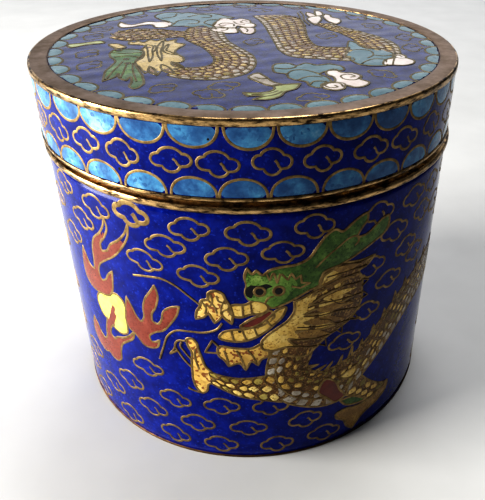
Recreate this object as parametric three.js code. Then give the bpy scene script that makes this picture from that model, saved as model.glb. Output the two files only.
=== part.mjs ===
// A round lidded jar of cloisonne enamel on copper, standing on its brass foot ring.
// Millimetres, +Z up, origin on the axis at the underside of the foot ring, -Y to the front.
// Every piece is turned, so each is one closed profile of [radius, height] points swept round Z.
import * as THREE from "three";

// Driving dimensions.
const totalHeight = 76; // table to the top of the lid
const bodyRadius = 42; // outside of the enamelled body
const lidRadius = 42.2; // outside of the enamelled lid
const wall = 2; // copper with enamel on both sides
const floorThickness = 2.2; // the body's floor and the lid's top are alike
const seamHeight = 62; // the ledge that the lid rests on
const lidRestGap = 0.05; // between the lid and the ledge
const lidPlay = 0.5; // radial room between the lid and the neck, which the lid drops over
const lidOffset = -0.25; // the lid rests this far off the axis along X, within its play

const footHeight = 0.6; // brass foot ring under the wall
const footInset = 0.1; // the ring's outer edge behind the enamel
const footWidth = 2.2;
const floorRise = 1.4; // the floor's underside above the table

const mouthBandHeight = 2.2; // brass ring from the enamel's top edge to the ledge
const beadHeight = 1.3; // rounded bead at the bottom of that ring
const beadProud = 0.4; // how far the bead stands out of the body
const grooveDepth = 0.9; // shadow groove between the bead and the lid, behind the body's radius
const neckRise = 4.5; // the neck above the ledge, inside the lid
const neckDrop = 5; // the neck's skirt below the enamel's top edge, inside the body
const neckWall = 0.8;
const solderGap = 0.1; // between the skirt and the body's inner wall

const lidHemHeight = 0.65; // brass ring at the lid's lower edge
const topRingHeight = 1.3; // brass ring at the lid's upper edge: its height on the side
const topRingWidth = 3.5; // and its width on the flat
const topRingProud = 0.1; // the ring above the enamel disc
const innerFillet = 1.2; // rounded corner where a wall meets a floor inside
const edgeRound = 0.45; // softened outer edge of the lid's upper ring

const segments = 96; // round each turned piece
const filletSteps = 3;
const beadSteps = 5;

// Worked out from the above.
const bodyInner = bodyRadius - wall;
const lidInner = lidRadius - wall;
const mouthBottom = seamHeight - mouthBandHeight;
const neckOuter = lidInner - lidPlay;
const lidBottom = seamHeight + lidRestGap;
const lidWallBottom = lidBottom + lidHemHeight;
const topRingBottom = totalHeight - topRingHeight;
const topRingInner = lidRadius - topRingWidth;
const discTop = totalHeight - topRingProud;
const discUnderside = discTop - floorThickness;

// Points of a quarter round about a centre, from one angle to another, in degrees.
function roundCorner(centreRadius, centreHeight, size, fromAngle, toAngle) {
  const points = [];
  for (let step = 0; step <= filletSteps; step++) {
    const turn = (toAngle - fromAngle) * (step / filletSteps);
    const angle = THREE.MathUtils.degToRad(fromAngle + turn);
    points.push([centreRadius + size * Math.cos(angle), centreHeight + size * Math.sin(angle)]);
  }
  return points;
}

// A named turned piece. The profile runs so that the material is on its left, and it starts and ends
// on the axis, or closes on itself when closed is true.
function turned(name, profile, material, closed) {
  const points = profile.map(([radius, height]) => new THREE.Vector2(radius, height));
  if (closed) points.push(points[0].clone());
  const geometry = new THREE.LatheGeometry(points, segments);
  geometry.rotateX(Math.PI / 2); // LatheGeometry turns about Y
  const piece = new THREE.Mesh(geometry, material);
  piece.name = name;
  return piece;
}

const cobaltEnamel = new THREE.MeshStandardMaterial({ color: 0x1f2796, roughness: 0.18, metalness: 0 });
const yellowBrass = new THREE.MeshStandardMaterial({ color: 0xb48a4a, roughness: 0.35, metalness: 1 });

// The vessel: wall and floor in one, with a rounded corner inside and a recessed underside.
function makeBody() {
  const floorTop = floorRise + floorThickness;
  const footInner = bodyRadius - footInset - footWidth;
  return turned(
    "body",
    [
      [0, floorRise],
      [footInner, floorRise],
      [footInner, footHeight],
      [bodyRadius, footHeight],
      [bodyRadius, mouthBottom],
      [bodyInner, mouthBottom],
      ...roundCorner(bodyInner - innerFillet, floorTop + innerFillet, innerFillet, 0, -90),
      [0, floorTop],
    ],
    cobaltEnamel,
    false,
  );
}

// The ring that the jar stands on.
function makeFootRing() {
  const outer = bodyRadius - footInset;
  const inner = outer - footWidth;
  const chamfer = footHeight / 3;
  return turned(
    "foot_ring",
    [
      [inner, 0],
      [outer - chamfer, 0],
      [outer, chamfer],
      [outer, footHeight],
      [inner, footHeight],
    ],
    yellowBrass,
    true,
  );
}

// The ring at the mouth: a bead outside, a groove above it, the ledge, and the neck that guides the lid.
function makeMouthRing() {
  const grooveRadius = bodyRadius - grooveDepth;
  const beadMiddle = mouthBottom + beadHeight / 2;
  const bead = [];
  for (let step = 0; step <= beadSteps; step++) {
    const angle = Math.PI * (step / beadSteps - 0.5);
    bead.push([bodyRadius + Math.cos(angle) * beadProud, beadMiddle + (Math.sin(angle) * beadHeight) / 2]);
  }
  const neckTop = seamHeight + neckRise;
  const skirtBottom = mouthBottom - neckDrop;
  const neckInner = neckOuter - neckWall;
  const easing = neckWall / 3;
  return turned(
    "mouth_ring",
    [
      [neckInner, skirtBottom],
      [bodyInner - solderGap, skirtBottom],
      [bodyInner - solderGap, mouthBottom],
      ...bead,
      [grooveRadius, mouthBottom + beadHeight + 0.05],
      [grooveRadius, seamHeight],
      [neckOuter, seamHeight],
      [neckOuter, neckTop - easing],
      [neckOuter - easing, neckTop],
      [neckInner, neckTop],
    ],
    yellowBrass,
    true,
  );
}

// The lid: a flat disc on a short wall, rebated at its upper edge for the brass ring.
function makeLid() {
  return turned(
    "lid",
    [
      [0, discUnderside],
      ...roundCorner(lidInner - innerFillet, discUnderside - innerFillet, innerFillet, 90, 0),
      [lidInner, lidWallBottom],
      [lidRadius, lidWallBottom],
      [lidRadius, topRingBottom],
      [topRingInner, topRingBottom],
      [topRingInner, discTop],
      [0, discTop],
    ],
    cobaltEnamel,
    false,
  );
}

// The thin brass strip that closes the lid's lower edge and rests on the ledge.
function makeLidHem() {
  const chamfer = lidHemHeight / 4;
  return turned(
    "lid_hem",
    [
      [lidInner, lidBottom],
      [lidRadius - chamfer, lidBottom],
      [lidRadius, lidBottom + chamfer],
      [lidRadius, lidWallBottom],
      [lidInner, lidWallBottom],
    ],
    yellowBrass,
    true,
  );
}

// The broad flat ring round the lid's top, with a softened outer edge.
function makeLidTopRing() {
  return turned(
    "lid_top_ring",
    [
      [topRingInner, topRingBottom],
      [lidRadius, topRingBottom],
      ...roundCorner(lidRadius - edgeRound, totalHeight - edgeRound, edgeRound, 0, 90),
      [topRingInner, totalHeight],
    ],
    yellowBrass,
    true,
  );
}

const jar = new THREE.Group();
const vessel = new THREE.Group();
vessel.add(makeBody(), makeFootRing(), makeMouthRing());
const cover = new THREE.Group();
cover.add(makeLid(), makeLidHem(), makeLidTopRing());
cover.position.x = lidOffset;
jar.add(vessel, cover);

export default jar;
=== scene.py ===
import math

import bpy
import numpy as np
from mathutils import Matrix, Vector
from mathutils.geometry import delaunay_2d_cdt


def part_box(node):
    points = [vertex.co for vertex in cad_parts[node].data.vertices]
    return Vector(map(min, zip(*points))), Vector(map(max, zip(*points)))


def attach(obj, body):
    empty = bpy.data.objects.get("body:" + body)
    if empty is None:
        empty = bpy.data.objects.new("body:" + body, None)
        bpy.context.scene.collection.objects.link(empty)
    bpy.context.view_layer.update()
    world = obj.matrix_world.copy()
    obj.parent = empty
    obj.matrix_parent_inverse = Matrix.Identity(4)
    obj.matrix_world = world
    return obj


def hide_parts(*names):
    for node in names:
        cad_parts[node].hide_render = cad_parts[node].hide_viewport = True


# A round lidded box of cloisonne enamel: coloured glass between flat brass wires on copper.
# Drawings on the walls are in millimetres: across is the arc to the right of the front,
# and the second value is the height above the lid's top, so it is negative.
# Drawings on the lid's top are in millimetres from its centre.
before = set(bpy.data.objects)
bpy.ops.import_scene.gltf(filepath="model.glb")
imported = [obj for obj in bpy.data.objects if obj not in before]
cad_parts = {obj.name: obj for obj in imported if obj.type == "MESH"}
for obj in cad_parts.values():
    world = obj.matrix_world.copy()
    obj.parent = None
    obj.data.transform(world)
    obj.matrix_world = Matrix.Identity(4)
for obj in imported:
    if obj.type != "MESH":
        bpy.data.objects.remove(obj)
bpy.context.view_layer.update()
mm = 0.001
rng = np.random.default_rng(7)


def nodeBox(node):
    low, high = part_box(node)
    return np.array(low) / mm, np.array(high) / mm


bodyHigh = nodeBox("body")[1]
lidLow, lidHigh = nodeBox("lid")
footLow, footHigh = nodeBox("foot_ring")
mouthLow, mouthHigh = nodeBox("mouth_ring")
hemLow, hemHigh = nodeBox("lid_hem")
ringLow, ringHigh = nodeBox("lid_top_ring")
bodyRadius = bodyHigh[0]
lidRadius = (lidHigh[0] - lidLow[0]) / 2
lidMiddle = (lidHigh[0] + lidLow[0]) / 2
topHeight = ringHigh[2]
discTop = lidHigh[2]
around = 2 * math.pi * bodyRadius  # once round the wall, in drawing millimetres

sizes = {
    "wall": 2.0,
    "floorThickness": 2.2,
    "floorRise": 1.4,
    "topRingWidth": 3.5,
    "neckWall": 0.8,
    "footBehind": 2.3,  # the foot ring's inner edge behind the wall
    "innerFillet": 1.2,
    "edgeBreak": 0.1,  # the small bevel on an edge
    "solderGap": 0.1,
    "neckSkirt": 5,  # the neck below the enamel's upper edge
    "mouthBand": 2.2,  # from that edge up to the ledge
    "beadTall": 1.3,
    "beadRelief": 0.05,
    "grooveDepth": 0.9,
    "neckEasing": 0.27,
    "hemRound": 0.18,
    "ringRound": 0.45,
    "ringFlatFrom": 1.6,  # where the top ring's flat begins, from its outer edge
    "ringFlatTo": 0.12,  # and where it ends, from its inner edge
    "roundSteps": 384,  # steps round the body, the mouth ring, the lid and the hem
    "footSteps": 256,
    "topRingSteps": 512,
    "bodyLevels": 40,  # levels up the wall
    "lidLevels": 10,
    "topRings": 40,  # rings of points on the lid's top
    "lidPlay": 0.5,
    "bedding": 0.2,  # the enamel's own surface behind the wires' tops
    "topBedding": 0.08,
    "topSwell": 0.02,  # how far the top's enamel rises and dips
    "bodyWire": 0.55,
    "lidWire": 0.52,
    "topWire": 0.48,
    "wireProud": 0.035,
    "layTurn": 0.55,  # the drawing was laid on by hand, and winds a little to the right on its way down
    "layWind": 0.017,
    "layRise": 0.3,
}


def smoothCurve(marks, closed=False, step=0.35):
    # A cubic through the marks, its slope at each mark weighted by the lengths beside it.
    # A mark with a third value is a sharp corner.
    knots = np.array([mark[:2] for mark in marks], float)
    sharp = [len(mark) > 2 for mark in marks]
    count = len(knots)
    runs = []
    for start in range(count if closed else count - 1):
        end = (start + 1) % count
        a, b = knots[start], knots[end]
        chord = max(np.hypot(*(b - a)), 1e-6)

        def slope(here, before, after):
            back, ahead = np.hypot(*(here - before)), np.hypot(*(after - here))
            back, ahead = max(back, 1e-6), max(ahead, 1e-6)
            return (here - before) / back - (after - before) / (back + ahead) + (after - here) / ahead

        leave = (b - a) / chord
        if not sharp[start] and (closed or start > 0):
            leave = slope(a, knots[start - 1], b)
        arrive = (b - a) / chord
        if not sharp[end] and (closed or end < count - 1):
            arrive = slope(b, a, knots[(end + 1) % count])
        t = np.linspace(0, 1, max(2, math.ceil(chord / step)), endpoint=False)[:, None]
        runs.append(
            (2 * t**3 - 3 * t**2 + 1) * a + (t**3 - 2 * t**2 + t) * chord * leave
            + (3 * t**2 - 2 * t**3) * b + (t**3 - t**2) * chord * arrive
        )
    if not closed:
        runs.append(knots[-1:])
    return np.vstack(runs)


def wallAngle(drawn):
    # The angle from the front is across / radius, with the hand-laid turn and wind.
    return (drawn[..., 0] + sizes["layTurn"] - sizes["layWind"] * drawn[..., 1]) / bodyRadius - math.pi / 2


def onBody(drawn, raised):
    # Wrapped round the body: x = r cos a, y = r sin a, with r the wall and how far the point is raised.
    angle = wallAngle(drawn)
    radius = bodyRadius - sizes["bedding"] + raised
    height = topHeight + drawn[..., 1] + sizes["layRise"]
    return np.stack([radius * np.cos(angle), radius * np.sin(angle), height], -1)


def onLidSide(drawn, raised):
    # Wrapped round the lid in the same way, about the lid's own middle.
    angle = wallAngle(drawn)
    radius = lidRadius - sizes["bedding"] + raised
    return np.stack(
        [lidMiddle + radius * np.cos(angle), radius * np.sin(angle), topHeight + drawn[..., 1]], -1
    )


def topSwell(x, y):
    # The lid's top is ground a little unevenly: three crossing sine waves.
    waves = np.sin(0.9 * x + 0.4 * y) + np.sin(1.3 * y - 0.5 * x + 1) + np.sin(0.6 * x - 0.8 * y + 2)
    return sizes["topSwell"] * waves


def onLidTop(drawn, raised):
    # Flat on the lid's top, but for the swell.
    height = discTop - sizes["topBedding"] + raised + topSwell(drawn[..., 0], drawn[..., 1])
    return np.stack([lidMiddle + drawn[..., 0], drawn[..., 1], height + 0 * drawn[..., 0]], -1)


charts = {"body": onBody, "lid": onLidSide, "top": onLidTop}
wireFinish = {"body": "wire", "lid": "wire", "top": "dull wire"}
pieces = {}  # name -> its points, faces, tones of points and finishes of faces
taken = []  # drawn points that the body's figures cover


def addSurface(name, points, faces, finish, tone=0.0):
    # Gathers one more patch of surface into the named piece. The finish is one name, or one for each face.
    piece = pieces.setdefault(name, {"points": [], "faces": [], "tones": [], "finishes": [], "count": 0})
    points = np.asarray(points, float).reshape(-1, 3)
    piece["points"].append(points)
    piece["faces"] += [[k + piece["count"] for k in face] for face in faces]
    piece["tones"].append(np.broadcast_to(np.asarray(tone, float), (len(points),)))
    piece["finishes"] += [finish] * len(faces) if isinstance(finish, str) else finish
    piece["count"] += len(points)


def gridFaces(rows, columns, closedRows=False, closedColumns=False):
    # Quads of a grid numbered row by row, wrapping where it closes on itself.
    r, c = np.meshgrid(
        np.arange(rows if closedRows else rows - 1),
        np.arange(columns if closedColumns else columns - 1),
        indexing="ij",
    )
    r, c = r.ravel(), c.ravel()
    r2, c2 = (r + 1) % rows, (c + 1) % columns
    return np.stack([r * columns + c, r2 * columns + c, r2 * columns + c2, r * columns + c2], 1)


def addWire(part, path, width, closed=False, lift=0.0, finish=None):
    # A rounded ribbon carried along a drawn path: left and right of it by the path's normal,
    # its edges bedded in the enamel and its back standing a little proud.
    path = np.asarray(path, float)
    if closed:
        ahead, behind = np.roll(path, -1, 0), np.roll(path, 1, 0)
    else:
        ahead = np.vstack([path[1:], 2 * path[-1:] - path[-2:-1]])
        behind = np.vstack([2 * path[:1] - path[1:2], path[:-1]])
    along = ahead - behind
    along /= np.maximum(np.hypot(along[:, 0], along[:, 1]), 1e-9)[:, None]
    left = np.stack([-along[:, 1], along[:, 0]], 1)
    sway = np.cumsum(rng.normal(0, 1, len(path)))
    sway = sway - np.linspace(sway[0], sway[-1], len(path))
    sway = 1 + 0.1 * sway / max(np.abs(sway).max(), 1e-6)
    across = np.array([-0.5, -0.42, -0.28, 0.28, 0.42, 0.5])
    crown = np.array([-0.5, 0.8, 1.0, 1.0, 0.8, -0.5]) * sizes["wireProud"]
    drawn = path[:, None] + left[:, None] * (across[None, :] * width * sway[:, None])[..., None]
    raised = np.broadcast_to(crown + lift * (crown > 0), drawn.shape[:2])
    faces = gridFaces(len(path), 6, closedRows=closed)
    addSurface(part + "_wires", charts[part](drawn, raised), faces, finish or wireFinish[part])


def insideOutline(outline, points):
    # Even-odd rule: a point is inside if a line to its right crosses the outline an odd number of times.
    x, y = points[:, 0][:, None], points[:, 1][:, None]
    a, b = outline, np.roll(outline, -1, 0)
    rise = b[:, 1] - a[:, 1]
    rise = np.where(np.abs(rise) < 1e-12, 1e-12, rise)
    crosses = (a[:, 1] > y) != (b[:, 1] > y)
    return ((x < (b[:, 0] - a[:, 0]) * (y - a[:, 1]) / rise + a[:, 0]) & crosses).sum(1) % 2 == 1


def addCell(part, enamel, outline, level=0.02, crown=0.03, spacing=1.0, tone=0.0, upTo=None):
    # An enamel cell: the outline filled on a lattice of points, raised by a crown that falls to
    # below the ground at the outline, as melted glass draws down beside its wire.
    outline = np.asarray(outline, float)
    low, high = outline.min(0), outline.max(0)
    x, y = np.meshgrid(np.arange(low[0], high[0], spacing), np.arange(low[1], high[1], spacing))
    x = x + spacing / 2 * (np.arange(len(x)) % 2)[:, None]
    inner = np.stack([x.ravel(), y.ravel()], 1)
    gap = np.sqrt(((inner[:, None] - outline[None]) ** 2).sum(2).min(1)) if len(inner) else np.zeros(0)
    keep = insideOutline(outline, inner) & (gap > spacing * 0.45)
    count = len(outline)
    drawn = np.vstack([outline, inner[keep]])
    edges = [(k, (k + 1) % count) for k in range(count)]
    found = delaunay_2d_cdt([Vector(point) for point in drawn], edges, [], 0, 1e-5)
    spots = np.array([tuple(spot) for spot in found[0]])
    triangles = np.array(found[2])
    middle = spots[triangles].mean(1)
    use = insideOutline(outline, middle)
    if upTo is not None:
        use &= middle[:, 1] < upTo
    triangles = triangles[use]
    a, b, c = (spots[triangles[:, k]] for k in range(3))
    flipped = (b[:, 0] - a[:, 0]) * (c[:, 1] - a[:, 1]) - (b[:, 1] - a[:, 1]) * (c[:, 0] - a[:, 0]) < 0
    triangles[flipped] = triangles[flipped][:, ::-1]
    depth = np.sqrt(((spots[:, None] - outline[None]) ** 2).sum(2).min(1))
    raised = level + crown * np.clip(depth / 0.5, 0, 1) - crown * (depth < 0.05)
    addSurface(part + "_cells", charts[part](spots, raised), triangles, enamel, tone)


def addStarCells(part, enamel, centres, outlines, level, crown=0.03, tones=None):
    # Many small cells at once: each is its centre plus rho times its outline about the centre,
    # for rho from 0 to 1, with a crown of 1 - rho to the fourth.
    rho = np.array([0.55, 0.85, 1.0])
    tones = np.zeros(len(centres)) if tones is None else tones
    number = outlines.shape[1]
    crowns = level + crown * (1 - rho**4) - 0.03 * (rho == 1)
    raised = np.append(level + crown, np.repeat(crowns, number))
    here = np.arange(number)
    fan = np.stack([np.zeros(number, int), here + 1, (here + 1) % number + 1], 1)
    faces = fan.tolist() + (gridFaces(len(rho), number, closedColumns=True) + 1).tolist()
    for centre, outline, tone in zip(centres, outlines, tones):
        rings = centre + rho[:, None, None] * (outline - centre)
        drawn = np.vstack([centre[None], rings.reshape(-1, 2)])
        addSurface(part + "_cells", charts[part](drawn, raised), faces, enamel, tone)


def turned(name, profile, segments, finish, middle=0.0):
    # A profile of [radius, height] points swept round the axis: x = r cos a, y = r sin a.
    # The profile runs with the material on its left. It closes on itself, or starts and ends on the axis,
    # where one point stands for the whole ring. The finish is one name, or one for each span of the profile.
    profile = np.asarray(profile, float)
    angle = np.arange(segments) * 2 * math.pi / segments
    onAxis = profile[0, 0] < 1e-6
    rings = profile[1:-1] if onAxis else profile
    points = np.stack([middle + rings[:, :1] * np.cos(angle), rings[:, :1] * np.sin(angle),
                       rings[:, 1:] + 0 * angle], -1).reshape(-1, 3)
    faces = gridFaces(len(rings), segments, closedRows=not onAxis, closedColumns=True)
    faces = faces[:, [0, 3, 2, 1]].tolist()
    if onAxis:
        here = np.arange(segments)
        ahead, last, count = (here + 1) % segments, (len(rings) - 1) * segments, len(points)
        points = np.vstack([points, [[middle, 0, profile[0, 1]], [middle, 0, profile[-1, 1]]]])
        start = np.stack([np.full(segments, count), ahead, here], 1).tolist()
        end = np.stack([np.full(segments, count + 1), last + here, last + ahead], 1).tolist()
        faces = start + faces + end
    if not isinstance(finish, str):
        finish = [kind for kind in finish for _ in range(segments)]
    addSurface(name, points, faces, finish)


def roundCorner(centre, size, start, end, steps):
    # Points of an arc: centre + size (cos a, sin a), in degrees.
    angle = np.radians(np.linspace(start, end, steps + 1))
    return np.stack([centre[0] + size * np.cos(angle), centre[1] + size * np.sin(angle)], 1).tolist()


def linear(code):
    # sRGB hex to the linear values that shaders want.
    parts = [int(code[k:k + 2], 16) / 255 for k in (0, 2, 4)]
    return [p / 12.92 if p <= 0.04045 else ((p + 0.055) / 1.055) ** 2.4 for p in parts] + [1.0]


def addNode(tree, kind, inputs=None, ramp=None, **settings):
    # One shader node with its settings; an input is a value, or the socket that feeds it.
    node = tree.nodes.new("ShaderNode" + kind)
    for key, value in settings.items():
        setattr(node, key, value)
    for key, value in (inputs or {}).items():
        if isinstance(value, bpy.types.NodeSocket):
            tree.links.new(value, node.inputs[key])
        else:
            node.inputs[key].default_value = value
    if ramp:
        stops = node.color_ramp.elements
        while len(stops) < len(ramp):
            stops.new(0.5)
        for stop, (place, colour) in zip(stops, ramp):
            stop.position = place
            stop.color = linear(colour) if isinstance(colour, str) else (colour, colour, colour, 1)
    return node


def startMaterial(name):
    # An empty node tree and the object's own coordinates.
    material = bpy.data.materials.new(name)
    material.use_nodes = True
    tree = material.node_tree
    tree.nodes.clear()
    place = addNode(tree, "TexCoord").outputs["Object"]
    return material, tree, place


def finishMaterial(tree, shader):
    addNode(tree, "OutputMaterial", {"Surface": shader.outputs["BSDF"]})


def firedEnamel(name, tones, grain, roughness=0.1, speck=None, speckShare=0.3, gloss=0.25, fade=1.0):
    # Ground glass fired on copper and polished: its tones drift in clouds of about a millimetre,
    # single grains of glass show as specks, and a few burst bubbles leave dark pits.
    material, tree, place = startMaterial(name)
    drift = addNode(tree, "TexNoise", {
        "Vector": place, "Scale": 1 / (grain * 3.2 * mm), "Detail": 4.0, "Roughness": 0.65})
    tone = addNode(tree, "Attribute", attribute_name="tone")
    shade = addNode(tree, "Math", {0: drift.outputs["Fac"], 1: tone.outputs["Fac"]}, operation="ADD")
    body = addNode(tree, "ValToRGB", {"Fac": shade.outputs[0]}, ramp=tones)
    colour = body.outputs["Color"]
    grains = addNode(tree, "TexVoronoi", {"Vector": place, "Scale": 1 / (grain * 0.42 * mm)})
    if speck:
        some = addNode(tree, "SeparateColor", {"Color": grains.outputs["Color"]})
        share = addNode(tree, "MapRange", {
            "Value": some.outputs["Red"], "From Min": 1 - speckShare, "From Max": 1 - speckShare * (1 - fade),
            "To Max": 0.85})
        flecks = addNode(tree, "Mix", {
            "Factor": share.outputs["Result"], "A": colour, "B": linear(speck)}, data_type="RGBA")
        colour = flecks.outputs["Result"]
    bubbles = addNode(tree, "TexVoronoi", {"Vector": place, "Scale": 1 / (2.6 * mm)})
    chosen = addNode(tree, "SeparateColor", {"Color": bubbles.outputs["Color"]})
    limit = addNode(tree, "Math", {0: chosen.outputs["Red"], 1: 0.13}, operation="MULTIPLY")
    pit = addNode(tree, "Math", {0: bubbles.outputs["Distance"], 1: limit.outputs[0]}, operation="LESS_THAN")
    few = addNode(tree, "Math", {0: chosen.outputs["Green"], 1: 0.93}, operation="GREATER_THAN")
    pits = addNode(tree, "Math", {0: pit.outputs[0], 1: few.outputs[0]}, operation="MULTIPLY")
    pitted = addNode(tree, "Mix", {
        "Factor": pits.outputs[0], "A": colour, "B": linear("15120f")}, data_type="RGBA")
    wave = addNode(tree, "TexNoise", {
        "Vector": place, "Scale": 1 / (2.4 * mm), "Detail": 3.0, "Roughness": 0.55})
    dip = addNode(tree, "Math", {0: wave.outputs["Fac"], 1: pits.outputs[0]}, operation="SUBTRACT")
    bump = addNode(tree, "Bump", {
        "Height": dip.outputs[0], "Strength": 0.4, "Distance": 0.1 * mm})
    worn = addNode(tree, "TexNoise", {
        "Vector": place, "Scale": 1 / (7 * mm), "Detail": 6.0, "Roughness": 0.7})
    rough = addNode(tree, "MapRange", {
        "Value": worn.outputs["Fac"], "From Min": 0.35, "From Max": 0.75,
        "To Min": roughness, "To Max": roughness + 0.1})
    shader = addNode(tree, "BsdfPrincipled", {
        "Base Color": pitted.outputs["Result"], "Roughness": rough.outputs["Result"],
        "Normal": bump.outputs["Normal"], "IOR": 1.5, "Specular IOR Level": gloss})
    finishMaterial(tree, shader)
    return material


def wornBrass(name, bright, dull, roughness, tarnish, scale, drawn=1.0, blend=0.17):
    # Drawn or turned brass, handled for years: brown tarnish in clouds, rubbed bright between them.
    # The drawn value is how much longer the clouds and scratches run round the axis than up it.
    material, tree, place = startMaterial(name)
    place = addNode(tree, "VectorMath", {0: place, 1: (1, 1, drawn)}, operation="MULTIPLY").outputs[0]
    clouds = addNode(tree, "TexNoise", {
        "Vector": place, "Scale": 1 / (scale * mm), "Detail": 8.0, "Roughness": 0.7})
    colour = addNode(tree, "ValToRGB", {"Fac": clouds.outputs["Fac"]},
                     ramp=[(tarnish - blend, bright), (tarnish + blend, dull)])
    rough = addNode(tree, "MapRange", {
        "Value": clouds.outputs["Fac"], "From Min": 0.3, "From Max": 0.7,
        "To Min": roughness, "To Max": roughness + 0.22})
    scratches = addNode(tree, "TexNoise", {
        "Vector": place, "Scale": 1 / (0.5 * mm), "Detail": 3.0, "Roughness": 0.6})
    bump = addNode(tree, "Bump", {
        "Height": scratches.outputs["Fac"], "Strength": 0.13, "Distance": 0.05 * mm})
    shader = addNode(tree, "BsdfPrincipled", {
        "Base Color": colour.outputs["Color"], "Metallic": 1.0,
        "Roughness": rough.outputs["Result"], "Normal": bump.outputs["Normal"]})
    finishMaterial(tree, shader)
    return material


enamels = {
    "cobalt": firedEnamel("fired cobalt enamel", [(0.3, "060f52"), (0.5, "081767"), (0.72, "0e2280")],
                          grain=0.8, speck="1a3090", speckShare=0.1, gloss=0.1),
    # The lid top's cobalt: real wear, with darker tones than the side's cobalt painted on as shade where the
    # overhead lamp falls on the top.
    "worn cobalt": firedEnamel("worn cobalt enamel",
                               [(0.32, "040a3c"), (0.46, "0a1450"), (0.6, "182668"), (0.76, "2a3a80")],
                               grain=0.7, roughness=0.15, speck="060a30", speckShare=0.35, gloss=0.3),
    "sky": firedEnamel("fired sky blue enamel",
                       [(0.32, "1e4674"), (0.46, "33628e"), (0.6, "4a86ac"), (0.76, "8ab2c6")],
                       grain=1.3, speck="24507e", speckShare=0.2),
    "pearl": firedEnamel("fired lemon enamel", [(0.3, "bdb94e"), (0.7, "d2cf6c")], grain=1.0),
    "brick": firedEnamel("fired brick red enamel", [(0.3, "662e22"), (0.6, "78382a"), (0.8, "8a4838")],
                         grain=0.7, speck="542018", speckShare=0.25),
    "yellow": firedEnamel("fired ochre yellow enamel", [(0.25, "a8843c"), (0.5, "cfae5e"), (0.75, "e4cc80")],
                          grain=0.8, speck="8a6428", speckShare=0.3),
    "green": firedEnamel("fired leaf green enamel", [(0.3, "2a4614"), (0.5, "3c5c20"), (0.75, "6c8c40")],
                         grain=0.7, speck="1c3010", speckShare=0.3),
    "stone": firedEnamel("fired stone white enamel", [(0.3, "8c8274"), (0.55, "a89e8e"), (0.8, "c4bcae")],
                         grain=0.7, speck="746a5c", speckShare=0.2),
    "bronze": firedEnamel("fired bronze brown enamel", [(0.25, "3c2810"), (0.5, "5a3c1a"), (0.75, "765228")],
                          grain=0.75, speck="a07e44", speckShare=0.3, fade=0.6),
    "amber": firedEnamel("fired amber enamel", [(0.25, "6e5024"), (0.5, "8a6a34"), (0.75, "ac8a48")],
                         grain=0.6, speck="5a3c18", speckShare=0.35),
    "flecked": firedEnamel("fired flecked enamel", [(0.25, "a07c3c"), (0.5, "c8a658"), (0.75, "e8d08a")],
                           grain=1.3, speck="6a2a18", speckShare=0.36, fade=0.3),
    "moss": firedEnamel("fired moss green enamel", [(0.3, "4a6a2a"), (0.55, "6e8e40"), (0.8, "a4b464")],
                        grain=0.7, speck="2a4416", speckShare=0.3),
    "olive": firedEnamel("fired olive enamel", [(0.25, "6e6028"), (0.5, "8c7a38"), (0.75, "b4a45c")],
                         grain=0.7, speck="52421c", speckShare=0.25),
    "sand": firedEnamel("fired sand enamel", [(0.25, "94804c"), (0.5, "b49c5e"), (0.75, "ccb680")],
                        grain=0.7, speck="6c5c38", speckShare=0.25),
    "oxblood": firedEnamel("fired oxblood enamel", [(0.3, "54201a"), (0.7, "743024")], grain=0.8),
    "black": firedEnamel("fired black enamel", [(0.3, "050505"), (0.7, "16120f")], grain=0.8),
    "lime": firedEnamel("fired lime enamel", [(0.3, "848a54"), (0.6, "a0a66e"), (0.8, "b8be8c")], grain=0.8),
    "turquoise": firedEnamel("fired turquoise enamel", [(0.3, "46666e"), (0.55, "5a767c"), (0.8, "7c969a")],
                             grain=1.2, speck="3c5c68", speckShare=0.2),
    "white": firedEnamel("fired white enamel", [(0.3, "c4b4ac"), (0.6, "dcd2ca"), (0.8, "eae2dc")],
                         grain=1.0),
}
finishes = {
    **enamels,
    "wire": wornBrass("rubbed wire brass", "9a845a", "604e34", 0.48, 0.5, 1.6),
    "dark wire": wornBrass("tarnished wire brass", "766244", "463826", 0.46, 0.48, 1.6),
    "dull wire": wornBrass("dull wire brass", "7c7256", "544c38", 0.4, 0.5, 1.6),
    "rim": wornBrass("turned rim brass", "c8a878", "30241a", 0.22, 0.5, 2.4, drawn=4.0, blend=0.09),
    "flat": wornBrass("tarnished flat brass", "8c7a6c", "645648", 0.45, 0.48, 5.0),
    "foot": wornBrass("dark foot brass", "6c5236", "3c2c1c", 0.5, 0.48, 3.0),
}
print("materials made")


wallInner = bodyRadius - sizes["wall"]
lidInner = lidRadius - sizes["wall"]
footInner = bodyRadius - sizes["footBehind"]
ringInner = lidRadius - sizes["topRingWidth"]
mouthBottom = bodyHigh[2]
bed, fillet, bevel = sizes["bedding"], sizes["innerFillet"], sizes["edgeBreak"]


def turnBody():
    # Out under the floor, up the wall, down the lining and round a fillet back to the axis:
    # cobalt outside, turquoise inside and beneath.
    outer, under = bodyRadius - bed, sizes["floorRise"]
    floorTop = under + sizes["floorThickness"]
    profile = [[0, under], [footInner, under], [footInner, footHigh[2]],
               [outer - bevel, footHigh[2]], [outer, footHigh[2] + bevel]]
    levels = np.linspace(footHigh[2] + bevel, mouthBottom, sizes["bodyLevels"])[1:]
    profile += [[outer, level] for level in levels]
    lining = len(profile)
    profile += [[wallInner, mouthBottom], [wallInner, floorTop + fillet]]
    profile += roundCorner([wallInner - fillet, floorTop + fillet], fillet, 0, -90, 6)[1:]
    profile += [[0, floorTop]]
    spans = ["turquoise"] * 3 + ["cobalt"] * (lining - 4) + ["turquoise"] * (len(profile) - lining)
    turned("body_ground", profile, sizes["roundSteps"], spans)


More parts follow.
